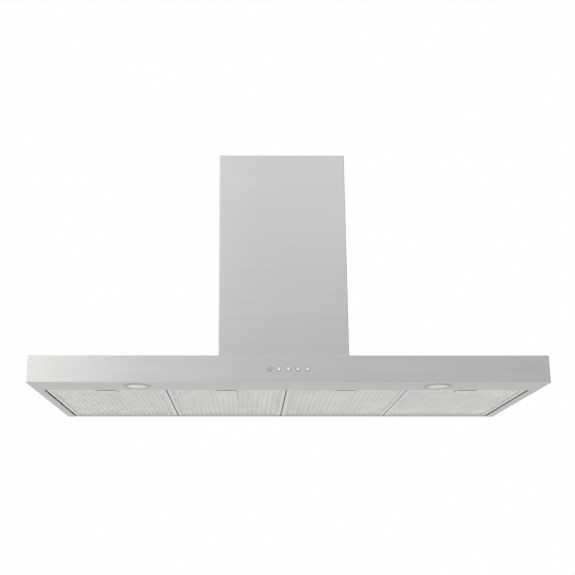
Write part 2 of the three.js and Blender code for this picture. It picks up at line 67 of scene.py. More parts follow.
# Filters: channel round the edge, notch and slide way for the latch, pad, rear tabs, ribs and layers.
RIM = 10.0
RIM_WALL = 0.8
RIM_RADIUS = 2.0
UPSTAND = 3.4
NOTCH_HALF, NOTCH_DEPTH = 17, 7
SLIDE_HALF, SLIDE_DEPTH = 21.5, 14
PAD_HALF, PAD_DEPTH, PAD_WALL = 23, 46, 1.5
LATCH_ROOM = 1  # between the pad and the mesh round it
TAB_X, TAB_HALF, TAB_REACH = 90, 12, 14
RIB_PITCH = 12.6
RIB_HEIGHT = 1.6
MESH_CELL = (7.0, 11.0)
STRAND = 0.95
MESH_INSET = 2.6
LAYER_HEIGHTS = {"lower": 2.5, "core": 4.1, "upper": 6.4}

# Buttons, lamps and the pan-head screws.
BUTTON_RADIUS = 4.5
FIRST_BUTTON_TURN = 24
LAMP_HOLE = 28
PAN_RADIUS, PAN_HEAD, PAN_SEAT = 4.5, 2.4, -1.8

# Blower and outlet.
AIR_HALF, AIR_FRONT, AIR_BACK = 145, -225, -20  # the air hole under the blower box
SCROLL_Y, SCROLL_Z, SCROLL_HALF = -124.0, 140.0, 73.0
INLET_RADIUS = 66.0
COLLAR_Y, PIN_Z = -87.0, 301.6

# The light tent: an even strength, and soft lobes on top of it.
# Each lobe has the direction where it lies, the cosines between which it fades in, and its strength.
TENT_BASE = 0.335
TENT = {
    "behind": ((0, 1, 0), -0.3, 0.8, 0.405),
    "above": ((0, 0, 1), -0.1, 0.9, 0.44),
    "left": ((-1, -0.6, 0.1), 0.2, 0.95, 0.5),
    "front": ((0, -1, 0.1), 0.7, 1.0, 0.12),
}

# Soft panels: name, place and aim in metres, width and height, watts.
SOFTBOXES = (
    ("side_left", (-3.4, -1.2, 0.2), (-0.4, -0.5, 0), (1.6, 2.4), 11),
    ("left", (-3.2, -2.6, 0.4), (-0.4, -0.5, 0), (2.2, 2.6), 22),
    ("near_left", (-2.2, -3.6, 0.7), (-0.4, -0.5, 0), (2.0, 1.8), 11.5),
    ("high_left", (-1.0, -3.4, 2.4), (0, -0.3, 0.3), (2.0, 1.4), 4.5),
    ("high_right", (1.2, -3.4, 2.4), (0, -0.3, 0.3), (2.0, 1.4), 6.5),
    ("right", (2.6, -3.0, 0.6), (0.4, -0.5, 0), (1.2, 2.0), 3),
)

# The camera: place in metres, pitch and turn in degrees, lens in millimetres and frame shift.
# The floor's height is in metres too.
CAMERA_PLACE = (-0.0939, -2.5012, -0.4239)
CAMERA_PITCH, CAMERA_TURN = 90 + 13.865, -0.089
CAMERA_LENS = 55.859
CAMERA_SHIFT = (0.0674, 0.09)
FLOOR_HEIGHT = -1.7

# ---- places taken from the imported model


def corners(node):
    """Lowest and highest corner of a CAD node, in millimetres."""
    low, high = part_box(node)
    return Vector(low) / MM, Vector(high) / MM


def middle(node):
    low, high = corners(node)
    return (low + high) / 2


CANOPY_LOW, CANOPY_HIGH = corners("canopy_shell")
CHIMNEY_LOW, CHIMNEY_HIGH = corners("chimney_lower")
UPPER_LOW, UPPER_HIGH = corners("chimney_upper")
BOX_LOW, BOX_HIGH = corners("blower_box")
FRONT = CANOPY_LOW.y
BOTTOM = CANOPY_LOW.z
TOP = CANOPY_HIGH.z
HALF = CANOPY_HIGH.x
OPENING_HALF = corners("filter_frame_4")[1].x + 4
STRIP_BACK = corners("filter_frame_1")[0].y - 2

# ---- mesh helpers


def link(name, mesh):
    made = bpy.data.objects.new(name, mesh)
    bpy.context.scene.collection.objects.link(made)
    return made


def object_from(name, bm, clean=True):
    """A new object from a bmesh drawn in millimetres."""
    if clean:
        bmesh.ops.remove_doubles(bm, verts=bm.verts, dist=1e-4)
        bmesh.ops.dissolve_degenerate(bm, edges=bm.edges, dist=1e-5)
    bmesh.ops.recalc_face_normals(bm, faces=bm.faces)
    bmesh.ops.scale(bm, vec=(MM, MM, MM), verts=bm.verts)
    mesh = bpy.data.meshes.new(name)
    bm.to_mesh(mesh)
    bm.free()
    return link(name, mesh)


def placed(axis, u, v, along):
    """A point drawn in (y, z) for axis x, in (x, z) for axis y, in (x, y) for axis z."""
    if axis == "x":
        return Vector((along, u, v))
    if axis == "y":
        return Vector((u, along, v))
    return Vector((u, v, along))


def add_prism(bm, outline, axis, start, end):
    """A closed outline swept from start to end along an axis."""
    rings = [[bm.verts.new(placed(axis, u, v, at)) for u, v in outline] for at in (start, end)]
    bm.faces.new(rings[0])
    bm.faces.new(list(reversed(rings[1])))
    count = len(outline)
    for i in range(count):
        j = (i + 1) % count
        bm.faces.new((rings[0][i], rings[1][i], rings[1][j], rings[0][j]))


def prism(name, outline, axis, start, end):
    bm = bmesh.new()
    add_prism(bm, outline, axis, start, end)
    return object_from(name, bm)


def add_lathe(bm, profile, axis, centre, segments=64):
    """A closed loop of (radius, distance along the axis) turned about the axis through centre."""
    rings = []
    for i in range(segments):
        angle = 2 * math.pi * i / segments
        cosine, sine = math.cos(angle), math.sin(angle)
        rings.append([
            bm.verts.new(Vector(centre) + placed(axis, r * cosine, r * sine, at)) for r, at in profile
        ])
    count = len(profile)
    for i in range(segments):
        here, there = rings[i], rings[(i + 1) % segments]
        for j in range(count):
            k = (j + 1) % count
            if profile[j][0] == 0 and profile[k][0] == 0:
                continue
            bm.faces.new((here[j], here[k], there[k], there[j]))


def lathe(name, profile, axis, centre, segments=64):
    bm = bmesh.new()
    add_lathe(bm, profile, axis, centre, segments)
    return object_from(name, bm)


def add_box(bm, low, high, radius=0.0, segments=3):
    """A block between two corners, with all its edges rounded."""
    made = bmesh.ops.create_cube(bm, size=1)["verts"]
    low, high = Vector(low), Vector(high)
    size, centre = high - low, (low + high) / 2
    for vert in made:
        vert.co = Vector(vert.co[i] * size[i] + centre[i] for i in range(3))
    if radius > 0:
        edges = list({edge for vert in made for edge in vert.link_edges})
        bmesh.ops.bevel(bm, geom=edges, offset=radius, segments=segments, profile=0.5, affect="EDGES")


def box(name, low, high, radius=0.0, segments=3):
    bm = bmesh.new()
    add_box(bm, low, high, radius, segments)
    return object_from(name, bm)


def arc(centre, radius, start, end, steps):
    """Points on an arc, angles in degrees."""
    points = []
    for i in range(steps + 1):
        angle = math.radians(start + (end - start) * i / steps)
        points.append((centre[0] + radius * math.cos(angle), centre[1] + radius * math.sin(angle)))
    return points


def rounded_rectangle(u0, u1, v0, v1, radius, steps=6):
    return [
        *arc((u1 - radius, v1 - radius), radius, 0, 90, steps),
        *arc((u0 + radius, v1 - radius), radius, 90, 180, steps),
        *arc((u0 + radius, v0 + radius), radius, 180, 270, steps),
        *arc((u1 - radius, v0 + radius), radius, 270, 360, steps),
    ]


def ribbon(path, thickness, bend, steps=6):
    """The outline of a sheet bent along a path, which is the sheet's left face.

    The inner radius of each bend is bend, whichever way the sheet turns."""
    left, right = [], []
    for i, point in enumerate(path):
        here = Vector(point)
        before = (here - Vector(path[i - 1])).normalized() if i else None
        after = (Vector(path[i + 1]) - here).normalized() if i < len(path) - 1 else None
        if before is None or after is None:
            direction = before or after
            left.append(tuple(here))
            right.append(tuple(here + Vector((direction.y, -direction.x)) * thickness))
            continue
        turn = math.atan2(before.x * after.y - before.y * after.x, before.dot(after))
        to_right = turn < 0
        left_radius = bend + thickness if to_right else bend
        right_radius = bend if to_right else bend + thickness
        side = Vector((before.y, -before.x)) * (1 if to_right else -1)
        centre = here - before * left_radius * math.tan(abs(turn) / 2) + side * left_radius
        begin = math.degrees(math.atan2(-side.y, -side.x))
        end = begin + math.degrees(turn)
        left.extend(arc(centre, left_radius, begin, end, steps))
        right.extend(arc(centre, right_radius, begin, end, steps))
    return left + list(reversed(right))


def bake_modifiers(target):
    """Applies the object's modifiers to its mesh."""
    bpy.context.view_layer.update()
    graph = bpy.context.evaluated_depsgraph_get()
    mesh = bpy.data.meshes.new_from_object(target.evaluated_get(graph))
    target.modifiers.clear()
    target.data = mesh


def combine(target, tools, operation):
    """Cuts the tools out of the target, or joins them to it, and removes them."""
    for tool in tools:
        modifier = target.modifiers.new("combine", "BOOLEAN")
        modifier.operation = operation
        modifier.solver = "MANIFOLD"
        modifier.object = tool
    bake_modifiers(target)
    for tool in tools:
        bpy.data.objects.remove(tool)
    return target


def cut(target, *tools):
    return combine(target, tools, "DIFFERENCE")


def join(target, *tools):
    return combine(target, tools, "UNION")


def cylinder(axis, centre, radius, start, end, segments=48):
    """A plain round tool for cutting or joining."""
    return prism("tool", arc(centre, radius, 0, 360 - 360 / segments, segments - 1), axis, start, end)


def block(low, high, radius=0.0):
    """A plain block as a tool for cutting or joining."""
    return box("tool", low, high, radius)


def moved(profile, along, side=1):
    """A profile of (radius, distance) moved along its axis, mirrored first when side is -1."""
    return [(radius, along + side * at) for radius, at in profile]


def weight_normals(target, keep_sharp):
    weighted = target.modifiers.new("normals", "WEIGHTED_NORMAL")
    weighted.keep_sharp = keep_sharp
    weighted.weight = 80


def round_edges(target, width, degrees):
    """Rounds the edges sharper than an angle, width in millimetres."""
    rounded = target.modifiers.new("edges", "BEVEL")
    rounded.width = width * MM
    rounded.segments = 2
    rounded.limit_method = "ANGLE"
    rounded.angle_limit = math.radians(degrees)


def finish_piece(target, body, slot, *nodes, looks=None, degrees=32):
    """Gives a new piece its shading, looks and body, and hides the CAD nodes that it stands for. The slot only
    picks the look when no looks are given.
    """
    target.data.shade_smooth()
    target.data.set_sharp_from_angle(angle=math.radians(degrees))
    weight_normals(target, True)
    target.data.materials.clear()
    for look in looks or [LOOK[slot]]:
        target.data.materials.append(look)
    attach(target, body)
    if nodes:
        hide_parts(*nodes)


def dress(node, material, bevel=0.4):
    """Keeps a CAD node, with welded vertices, small rounded edges and its own material."""
    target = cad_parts[node]
    target.data.materials.clear()
    target.data.materials.append(material)
    target.data.shade_smooth()
    weld = target.modifiers.new("weld", "WELD")
    weld.merge_threshold = 1e-5
    round_edges(target, bevel, 40)
    weight_normals(target, False)


def second_material_sideways(target):
    """Gives the faces that look along X the object's second material."""
    for polygon in target.data.polygons:
        polygon.material_index = int(abs(polygon.normal.x) > 0.7)


# ---- materials


class Nodes:
    """Short calls for building a node tree."""

    def __init__(self, tree):
        self.tree = tree

    def node(self, kind, inputs=None, **settings):
        """A node with some settings and with values on some of its inputs."""
        made = self.tree.nodes.new(kind)
        for key, value in settings.items():
            setattr(made, key, value)
        for key, value in (inputs or {}).items():
            made.inputs[key].default_value = value
        return made

    def wire(self, source, target):
        self.tree.links.new(source, target)

    def math(self, operation, first, second=0.0):
        """A calculation on two values, each a number or another node's output."""
        made = self.node("ShaderNodeMath", operation=operation)
        for value, socket in zip((first, second), made.inputs):
            if isinstance(value, (int, float)):
                socket.default_value = value
            else:
                self.wire(value, socket)
        return made.outputs["Value"]


class Shader(Nodes):
    """One Principled material and the patterns that vary it."""

    def __init__(self, name, color, metallic, roughness):
        self.material = bpy.data.materials.new(name)
        self.material.use_nodes = True
        super().__init__(self.material.node_tree)
        self.surface = self.tree.nodes["Principled BSDF"]
        self.color = color
        self.surface.inputs["Base Color"].default_value = (*color, 1)
        self.surface.inputs["Metallic"].default_value = metallic
        self.surface.inputs["Roughness"].default_value = roughness

    def place(self, scale=1, offset=(0, 0, 0)):
        """Points of the part's own frame, scaled for a pattern by one number or by one for each axis."""
        scales = (scale, scale, scale) if isinstance(scale, (int, float)) else scale
        mapping = self.node("ShaderNodeMapping", {"Scale": scales, "Location": offset})
        self.wire(self.node("ShaderNodeTexCoord").outputs["Object"], mapping.inputs["Vector"])
        return mapping.outputs["Vector"]

    def noise(self, scale, detail=3.0, rough=0.5, distortion=0.0):
        made = self.node(
            "ShaderNodeTexNoise",
            {"Scale": 1.0, "Detail": detail, "Roughness": rough, "Distortion": distortion},
        )
        self.wire(self.place(scale), made.inputs["Vector"])
        return made.outputs["Fac"]

    def mixed(self, first, second, share):
        """The first pattern's share of one, and the rest from the second."""
        return self.math("ADD", self.math("MULTIPLY", first, share), self.math("MULTIPLY", second, 1 - share))

    def ranged(self, value, low, high, start=0.25, end=0.75):
        limits = {"From Min": start, "From Max": end, "To Min": low, "To Max": high}
        made = self.node("ShaderNodeMapRange", limits)
        self.wire(value, made.inputs["Value"])
        return made.outputs["Result"]

    def tint(self, value, low, high, start=0.25, end=0.75):
        """The base colour made darker or lighter by a pattern."""
        ramp = self.node("ShaderNodeMix", data_type="RGBA")
        ramp.inputs[6].default_value = (*[c * low for c in self.color], 1)
        ramp.inputs[7].default_value = (*[min(1, c * high) for c in self.color], 1)
        self.wire(self.ranged(value, 0, 1, start, end), ramp.inputs["Factor"])
        self.wire(ramp.outputs[2], self.surface.inputs["Base Color"])

    def roughen(self, value, low, high, start=0.25, end=0.75):
        self.wire(self.ranged(value, low, high, start, end), self.surface.inputs["Roughness"])

    def bump(self, height, distance, strength=1.0):
        made = self.node("ShaderNodeBump", {"Distance": distance, "Strength": strength})
        self.wire(height, made.inputs["Height"])
        self.wire(made.outputs["Normal"], self.surface.inputs["Normal"])


def brushed(name, grain):
    """Sheet steel brushed along one axis: long fine scratches, faint wider bands and soft smudges."""
    shader = Shader(name, STEEL, 1.0, 0.36)
    along, across, band = 9.0, 1500.0, 130.0
    scratches = [across] * 3
    scratches[grain] = along
    bands = [band] * 3
    bands[grain] = along / 4
    scratch = shader.noise(scratches, detail=2, rough=0.6)
    wide = shader.noise(bands, detail=3, rough=0.55)
    smudge = shader.noise(5, detail=4, rough=0.55, distortion=0.4)
    both = shader.mixed(scratch, wide, 0.55)
    shader.tint(both, 0.95, 1.05, 0.3, 0.7)
    shader.roughen(shader.mixed(both, smudge, 0.6), 0.31, 0.42, 0.35, 0.65)
    shader.bump(scratch, 0.00003, 0.35)
    shader.surface.inputs["Anisotropic"].default_value = 0.45
    tangent = shader.node("ShaderNodeTangent", direction_type="RADIAL", axis="XYZ"[grain])
    shader.wire(tangent.outputs["Tangent"], shader.surface.inputs["Tangent"])
    return shader.material


def turned(name, color, centre, axis, roughness):
    """Metal turned on a lathe: fine rings round an axis through centre, in millimetres."""
    shader = Shader(name, color, 1.0, roughness)
    parts = shader.node("ShaderNodeSeparateXYZ")
    shader.wire(shader.place(offset=[-c * MM for c in centre]), parts.inputs["Vector"])
    squares = [
        shader.math("POWER", shader.math("ABSOLUTE", parts.outputs[i]), 2) for i in range(3) if i != axis
    ]
    rings = shader.node("ShaderNodeTexNoise", {"Scale": 1 / 0.0006, "Detail": 3}, noise_dimensions="1D")
    shader.wire(shader.math("SQRT", shader.math("ADD", *squares)), rings.inputs["W"])
    shader.tint(rings.outputs["Fac"], 0.92, 1.06)
    shader.roughen(shader.noise(60), roughness - 0.05, roughness + 0.07)
    shader.bump(rings.outputs["Fac"], 0.00002, 0.3)
    return shader.material


def galvanised():
    """Zinc-coated sheet with a faint spangle of crystals."""
    shader = Shader("galvanised_sheet", (0.58, 0.59, 0.59), 0.85, 0.42)
    cells = shader.node("ShaderNodeTexVoronoi", {"Scale": 1.0, "Randomness": 1.0})
    shader.wire(shader.place(110), cells.inputs["Vector"])
    split = shader.node("ShaderNodeSeparateXYZ")
    shader.wire(cells.outputs["Color"], split.inputs["Vector"])
    haze = shader.noise(14, detail=5, rough=0.6)
    shader.tint(shader.mixed(split.outputs["X"], haze, 0.45), 0.82, 1.14, 0.2, 0.8)
    shader.roughen(split.outputs["Y"], 0.34, 0.5, 0, 1)
    shader.bump(haze, 0.0002, 0.12)
    return shader.material


def satin_metal(name, color, roughness, grain=2, depth=0.00006):
    """Rolled or pressed metal: soft lines along one axis, small ripples and dull patches."""
    shader = Shader(name, color, 1.0, roughness)
    lines = [420.0] * 3
    lines[grain] = 12.0
    ripple = shader.noise(45)
    shader.tint(shader.noise(lines, rough=0.6), 0.93, 1.05)
    shader.roughen(ripple, roughness - 0.06, roughness + 0.09)
    shader.bump(ripple, depth, 0.35)
    return shader.material


def wire_mesh(name, color, roughness, spread):
    """Expanded aluminium: each stretch of strand catches the light a little differently."""
    shader = Shader(name, color, 0.9, roughness)
    strand = shader.noise(260, detail=2, rough=0.7)
    patch = shader.noise((18, 9, 18), detail=4, rough=0.6, distortion=0.6)
    shader.tint(shader.mixed(strand, patch, 0.6), 1 - spread, 1 + spread, 0.3, 0.7)
    shader.roughen(patch, roughness - 0.06, roughness + 0.1)
    shader.bump(strand, 0.0001, 0.3)
    return shader.material


def moulded(name, color, roughness, grain_size=0.0007, coat=0.0):
    """Moulded plastic or enamel with an even fine grain and slight shade changes."""
    shader = Shader(name, color, 0.0, roughness)
    grain = shader.noise(1 / grain_size, detail=2, rough=0.55)
    shader.tint(shader.noise(25, detail=4), 0.85, 1.18)
    shader.roughen(grain, roughness - 0.06, roughness + 0.08)
    shader.bump(grain, 0.00008, 0.35)
    if coat:
        shader.surface.inputs["Coat Weight"].default_value = coat
        shader.surface.inputs["Coat Roughness"].default_value = 0.2
    return shader.material


def opal():
    """Frosted lamp diffuser: light scatters inside it, over a fine pattern of dimples."""
    shader = Shader("opal_diffuser", (0.73, 0.73, 0.715), 0.0, 0.32)
    dimples = shader.node("ShaderNodeTexVoronoi", feature="SMOOTH_F1")
    dimples.inputs["Scale"].default_value = 1.0
    dimples.inputs["Randomness"].default_value = 0.15
    shader.wire(shader.place(550), dimples.inputs["Vector"])
    cloud = shader.noise(70, detail=2)
    shader.tint(cloud, 0.97, 1.02)
    shader.roughen(cloud, 0.27, 0.37)
    shader.bump(dimples.outputs["Distance"], 0.0001, 0.4)
    shader.surface.inputs["Subsurface Weight"].default_value = 0.25
    shader.surface.inputs["Subsurface Scale"].default_value = 0.002
    return shader.material


def circuit_board():
    """Green solder mask over faint copper tracks."""
    shader = Shader("circuit_board", (0.02, 0.13, 0.06), 0.0, 0.35)
    looks = {
        "Scale": 1.0,
        "Mortar Size": 0.06,
        "Mortar Smooth": 0.2,
        "Color1": (0.016, 0.10, 0.045, 1),
        "Color2": (0.02, 0.125, 0.058, 1),
        "Mortar": (0.05, 0.26, 0.11, 1),
    }
    tracks = shader.node("ShaderNodeTexBrick", looks)
    turn = shader.node("ShaderNodeMapping", {"Rotation": (math.radians(90), 0, 0), "Scale": (240, 240, 240)})
    shader.wire(shader.node("ShaderNodeTexCoord").outputs["Object"], turn.inputs["Vector"])
    shader.wire(turn.outputs["Vector"], tracks.inputs["Vector"])
    shader.wire(tracks.outputs["Color"], shader.surface.inputs["Base Color"])
    shader.roughen(shader.noise(90), 0.28, 0.42)
    shader.bump(tracks.outputs["Fac"], 0.00006, 0.4)
    return shader.material


STEEL = (0.60, 0.597, 0.586)
# Every look. A material slot's usual look has the slot's own name.
LOOK = {
    "steel": brushed("brushed_steel", 0),
    "steel_side": brushed("brushed_steel_side", 1),
    "cover": brushed("cover_steel", 0),
    "cover_side": brushed("cover_steel_side", 1),
    "galvanised_steel": galvanised(),
    "filter_aluminium": satin_metal("frame_aluminium", (0.75, 0.75, 0.735), 0.36, grain=1),
    "expanded_mesh": wire_mesh("mesh_aluminium", (0.89, 0.89, 0.875), 0.42, 0.1),
    "layers": wire_mesh("inner_layers", (0.86, 0.86, 0.845), 0.5, 0.14),
    "latch_steel": satin_metal("latch_steel", (0.74, 0.74, 0.73), 0.2, grain=0, depth=0.00003),
    "pressed_aluminium": satin_metal("pressed_aluminium", (0.66, 0.67, 0.67), 0.34, grain=1),
    "opal_lens": opal(),
    "heat_sink": satin_metal("black_anodised", (0.05, 0.05, 0.055), 0.4, grain=2),
    "black_plastic": moulded("black_plastic", (0.028, 0.028, 0.03), 0.48),
    "grey_plastic": moulded("grey_plastic", (0.17, 0.18, 0.19), 0.5),
    "board": circuit_board(),
    "motor_paint": moulded("motor_enamel", (0.05, 0.05, 0.055), 0.38, 0.0012, coat=0.4),
    "shaft": satin_metal("ground_steel", (0.6, 0.6, 0.6), 0.25, grain=0),
    "screw_steel": satin_metal("zinc_screws", (0.5, 0.49, 0.46), 0.3, grain=2),
}

# ---- canopy


def weigh_edges(target, weights):
    """Sets bevel weights: the first rule whose test fits an edge's two ends decides."""
    mesh = target.data
    layer = mesh.attributes.new("bevel_weight_edge", "FLOAT", "EDGE")
    for edge in mesh.edges:
        ends = [mesh.vertices[i].co / MM for i in edge.vertices]
        layer.data[edge.index].value = next((w for test, w in weights if all(map(test, ends))), 0.0)


def open_box(name, low, high, bend):
    """A block with a wide lower front bend, small bends elsewhere, and square edges at the back."""
    target = box(name, low, high)
    near = 0.01
    weigh_edges(target, [
        (lambda p: p.y > high[1] - near, 0.0),
        (lambda p: p.y < low[1] + near and p.z < low[2] + near, 1.0),
        (lambda p: p.y < low[1] + near, SMALL_BEND_SHARE),
        (lambda p: p.z > high[2] - near, SMALL_BEND_SHARE),
        (lambda p: p.z < low[2] + near, SMALL_BEND_SHARE),
    ])
    bevel = target.modifiers.new("bends", "BEVEL")
    bevel.width = bend * MM
    bevel.segments = 6
    bevel.limit_method = "WEIGHT"
    bake_modifiers(target)
    return target


def canopy():
    """The folded outer box with its lamp strip, side flanges and every opening."""
    outer = open_box("canopy", CANOPY_LOW, CANOPY_HIGH, BEND)
    inner_low = CANOPY_LOW + Vector((SHEET, SHEET, SHEET))
    inner_high = Vector((HALF - SHEET, CANOPY_HIGH.y + 10, TOP - SHEET))
    inner = open_box("tool", inner_low, inner_high, BEND - SHEET)
    opening = block((-OPENING_HALF, STRIP_BACK - 0.3, BOTTOM - 2), (OPENING_HALF, 20, 0))
    cut(outer, inner, opening)

    top, back, overlap = BOTTOM + HEM_HEIGHT, CANOPY_HIGH.y - 1, 0.3
    hem = block((-OPENING_HALF - 1, STRIP_BACK - SHEET, BOTTOM), (OPENING_HALF + 1, STRIP_BACK, top), 0.7)
    flanges = [
        block((x, STRIP_BACK - 1, BOTTOM), (x + SHEET + overlap, back, top), 0.7)
        for x in (-OPENING_HALF - SHEET, OPENING_HALF - overlap)
    ]
    join(outer, hem, *flanges)

    tools = [block((-AIR_HALF, AIR_FRONT, 0), (AIR_HALF, AIR_BACK, TOP + 5))]
    for i in FILTERS:
        x = middle(f"filter_latch_{i}").x
        slot_low = (x - TONGUE_SLOT_HALF, STRIP_BACK - 5, TONGUE_SLOT_LOW)
        tools.append(block(slot_low, (x + TONGUE_SLOT_HALF, STRIP_BACK + 3, TONGUE_SLOT_HIGH)))
    for i in BUTTONS:
        at = middle(f"button_{i}")
        tools.append(cylinder("y", (at.x, at.z), BUTTON_RADIUS + 1.3, FRONT - 3, FRONT + 5))
    for side, _ in SIDES:
        at = middle(f"lamp_lens_{side}")
        tools.append(cylinder("z", (at.x, at.y), LAMP_HOLE, BOTTOM - 3, BOTTOM + 5, 64))
    cut(outer, *tools)
    finish_piece(outer, "hood", "brushed_steel", "canopy_shell", looks=[LOOK["steel"], LOOK["steel_side"]])
    second_material_sideways(outer)


def back_panel():
    """The zinc-coated rear sheet with its lower lip, hook windows and countersunk screws."""
    low, high = corners("back_panel")
    lip_half = OPENING_HALF - 0.3
    outline = ribbon([(high.y, high.z), (high.y, low.z), (low.y - LIP_REACH, low.z)], SHEET, 1.0)
    panel = prism("rear_panel", outline, "x", -lip_half, lip_half)
    ends = []
    for _, side in SIDES:
        start, end = sorted((side * (lip_half - 1), side * high.x))
        ends.append(block((start, high.y - SHEET, low.z), (end, high.y, high.z)))
    join(panel, *ends)

    tools = []
    for name, _ in SIDES:
        hook_low, hook_high = corners(f"wall_hook_{name}")
        window = rounded_rectangle(hook_low.x - 2, hook_high.x + 2, hook_low.z - 2, HOOK_WINDOW_TOP, 1.5)
        tools.append(prism("tool", window, "y", -4, 2))
    spots = [(x, 0, z) for x in PANEL_SCREW_COLUMNS for z in (low.z + 9, high.z - 7)]
    sink = [(0, -1.1), (2.2, -1.1), (4.0, 0.6), (0, 0.6)]
    tools.extend(lathe("tool", sink, "y", spot, 24) for spot in spots)
    cut(panel, *tools)
    looks = [LOOK["galvanised_steel"], LOOK["steel"]]
    finish_piece(panel, "hood", "galvanised_steel", "back_panel", looks=looks)
    for polygon in panel.data.polygons:
        polygon.material_index = int(polygon.center.y < -2 * SHEET * MM)

    head = [(0, -1.0), (2.0, -1.0), (3.3, -0.15), (0.9, -0.1), (0.7, -0.6), (0, -0.6)]
    screws("panel_screws", head, "y", spots)


def screws(name, head, axis, spots):
    """A row of small screw heads of one profile."""
    bm = bmesh.new()
    for spot in spots:
        add_lathe(bm, head, axis, spot, 24)
    finish_piece(object_from(name, bm), "hood", "screw_steel")


def pan_screw(name, body, node):
    """A pan-head screw that looks towards -Y, with a cross recess, in place of a CAD screw."""
    at = middle(node)
    rim = PAN_SEAT - 0.5
    front = PAN_SEAT - PAN_HEAD
    profile = [
        (0, PAN_SEAT),
        (PAN_RADIUS, PAN_SEAT),
        (PAN_RADIUS, rim),
        *[(PAN_RADIUS * math.cos(a), rim + (front - rim) * math.sin(a)) for a in (0.3, 0.6, 0.9, 1.2)],
        (0.1, front),
        (0, front),
    ]
    head = lathe(name, profile, "y", (at.x, 0, at.z), 32)
    arm, wide = PAN_RADIUS * 0.55, PAN_RADIUS * 0.13
    for half_x, half_z in ((arm, wide), (wide, arm)):
        low = (at.x - half_x, front - 1, at.z - half_z)
        cut(head, block(low, (at.x + half_x, front + 1.1, at.z + half_z)))
    finish_piece(head, body, "screw_steel", node)


def hooks():
    for name, _ in SIDES:
        dress(f"wall_hook_{name}", LOOK["galvanised_steel"], 0.35)
        pan_screw(f"hook_bolt_{name}", "hood", f"hook_screw_{name}")


# ---- grease filters


def swept_rim(name, low, high, profile):
    """A closed profile of (distance in from the edge, height) swept round a rectangle with mitres."""
    bm = bmesh.new()
    loops = []
    for inset, z in profile:
        x0, x1 = low.x + inset, high.x - inset
        y0, y1 = low.y + inset, high.y - inset
        loops.append([bm.verts.new((x, y, z)) for x, y in ((x0, y0), (x1, y0), (x1, y1), (x0, y1))])
    for j, here in enumerate(loops):
        there = loops[(j + 1) % len(loops)]
        for i in range(4):
            k = (i + 1) % 4
            bm.faces.new((here[i], here[k], there[k], there[i]))
    return object_from(name, bm)


def channel_profile(bottom, top):
    """A channel open to the inside: rounded outer corners, a hemmed upper lip and an upturned lower one."""
    low_corner, high_corner = (RIM_RADIUS, bottom + RIM_RADIUS), (RIM_RADIUS, top - RIM_RADIUS)
    inner, lip = RIM_RADIUS - RIM_WALL, RIM_WALL / 2
    return [
        *arc(low_corner, RIM_RADIUS, 270, 180, 4),
        *arc(high_corner, RIM_RADIUS, 180, 90, 4),
        *arc((RIM - lip, top - lip), lip, 90, -90, 4),
        *arc(high_corner, inner, 90, 180, 4),
        *arc(low_corner, inner, 180, 270, 4),
        (RIM - RIM_WALL, bottom + RIM_WALL),
        *arc((RIM - lip, bottom + UPSTAND - lip), lip, 180, 0, 4),
        *arc((RIM - lip, bottom + lip), lip, 0, -90, 2),
    ]


def finger_notch(x, front, bottom, top):
    """A tool for the finger's notch in the middle of a filter's front edge."""
    outline = rounded_rectangle(x - NOTCH_HALF, x + NOTCH_HALF, front - 9, front + NOTCH_DEPTH, 2.5)
    return prism("tool", outline, "z", bottom, top)


def filter_frame(i):
    """The channel round a filter, its latch pad and its two rear tabs."""
    low, high = corners(f"filter_frame_{i}")
    high = Vector((high.x, high.y - TAB_REACH, high.z))
    channel = swept_rim(f"filter_rim_{i}", low, high, channel_profile(low.z, high.z))
    x = (low.x + high.x) / 2
    notch = finger_notch(x, low.y, low.z - 2, high.z + 2)
    slide_high = (x + SLIDE_HALF, low.y + SLIDE_DEPTH, high.z + 2)
    slide = block((x - SLIDE_HALF, low.y - 2, low.z + RIM_WALL), slide_high)
    cut(channel, notch, slide)
    finish_piece(channel, f"filter_{i}", "filter_aluminium", f"filter_frame_{i}")
    latch_pad(i, x, low, high)

    bm = bmesh.new()
    for at in (x - TAB_X, x + TAB_X):
        tab_low = (at - TAB_HALF, high.y - 1.5, low.z + 3)
        add_box(bm, tab_low, (at + TAB_HALF, high.y + TAB_REACH, low.z + 4.5), 0.6, 2)
    finish_piece(object_from(f"filter_tabs_{i}", bm), f"filter_{i}", "filter_aluminium")


def latch_pad(i, x, low, high):
    """The smooth recessed pad round the latch: a shallow tray with a notch for the finger."""
    front, back = low.y + 1.3, low.y + PAD_DEPTH
    outline = rounded_rectangle(x - PAD_HALF, x + PAD_HALF, front, back, 3.0)
    tray = prism(f"latch_pad_{i}", outline, "z", low.z, high.z - 1)
    inner_half = PAD_HALF - PAD_WALL
    outline = rounded_rectangle(x - inner_half, x + inner_half, front - 8, back - PAD_WALL, 2.0)
    room = prism("tool", outline, "z", low.z + 1.2, high.z + 2)
    cut(tray, room, finger_notch(x, low.y, low.z - 2, low.z + 3))
    round_edges(tray, 0.35, 50)
    finish_piece(tray, f"filter_{i}", "filter_aluminium")


def wave(x):
    """Height of the filter's ribs, which run from front to back."""
    return RIB_HEIGHT * math.cos(2 * math.pi * x / RIB_PITCH)


def in_latch_room(x, y, centre, front):
    return abs(x - centre) < PAD_HALF + LATCH_ROOM and y < front + PAD_DEPTH + LATCH_ROOM


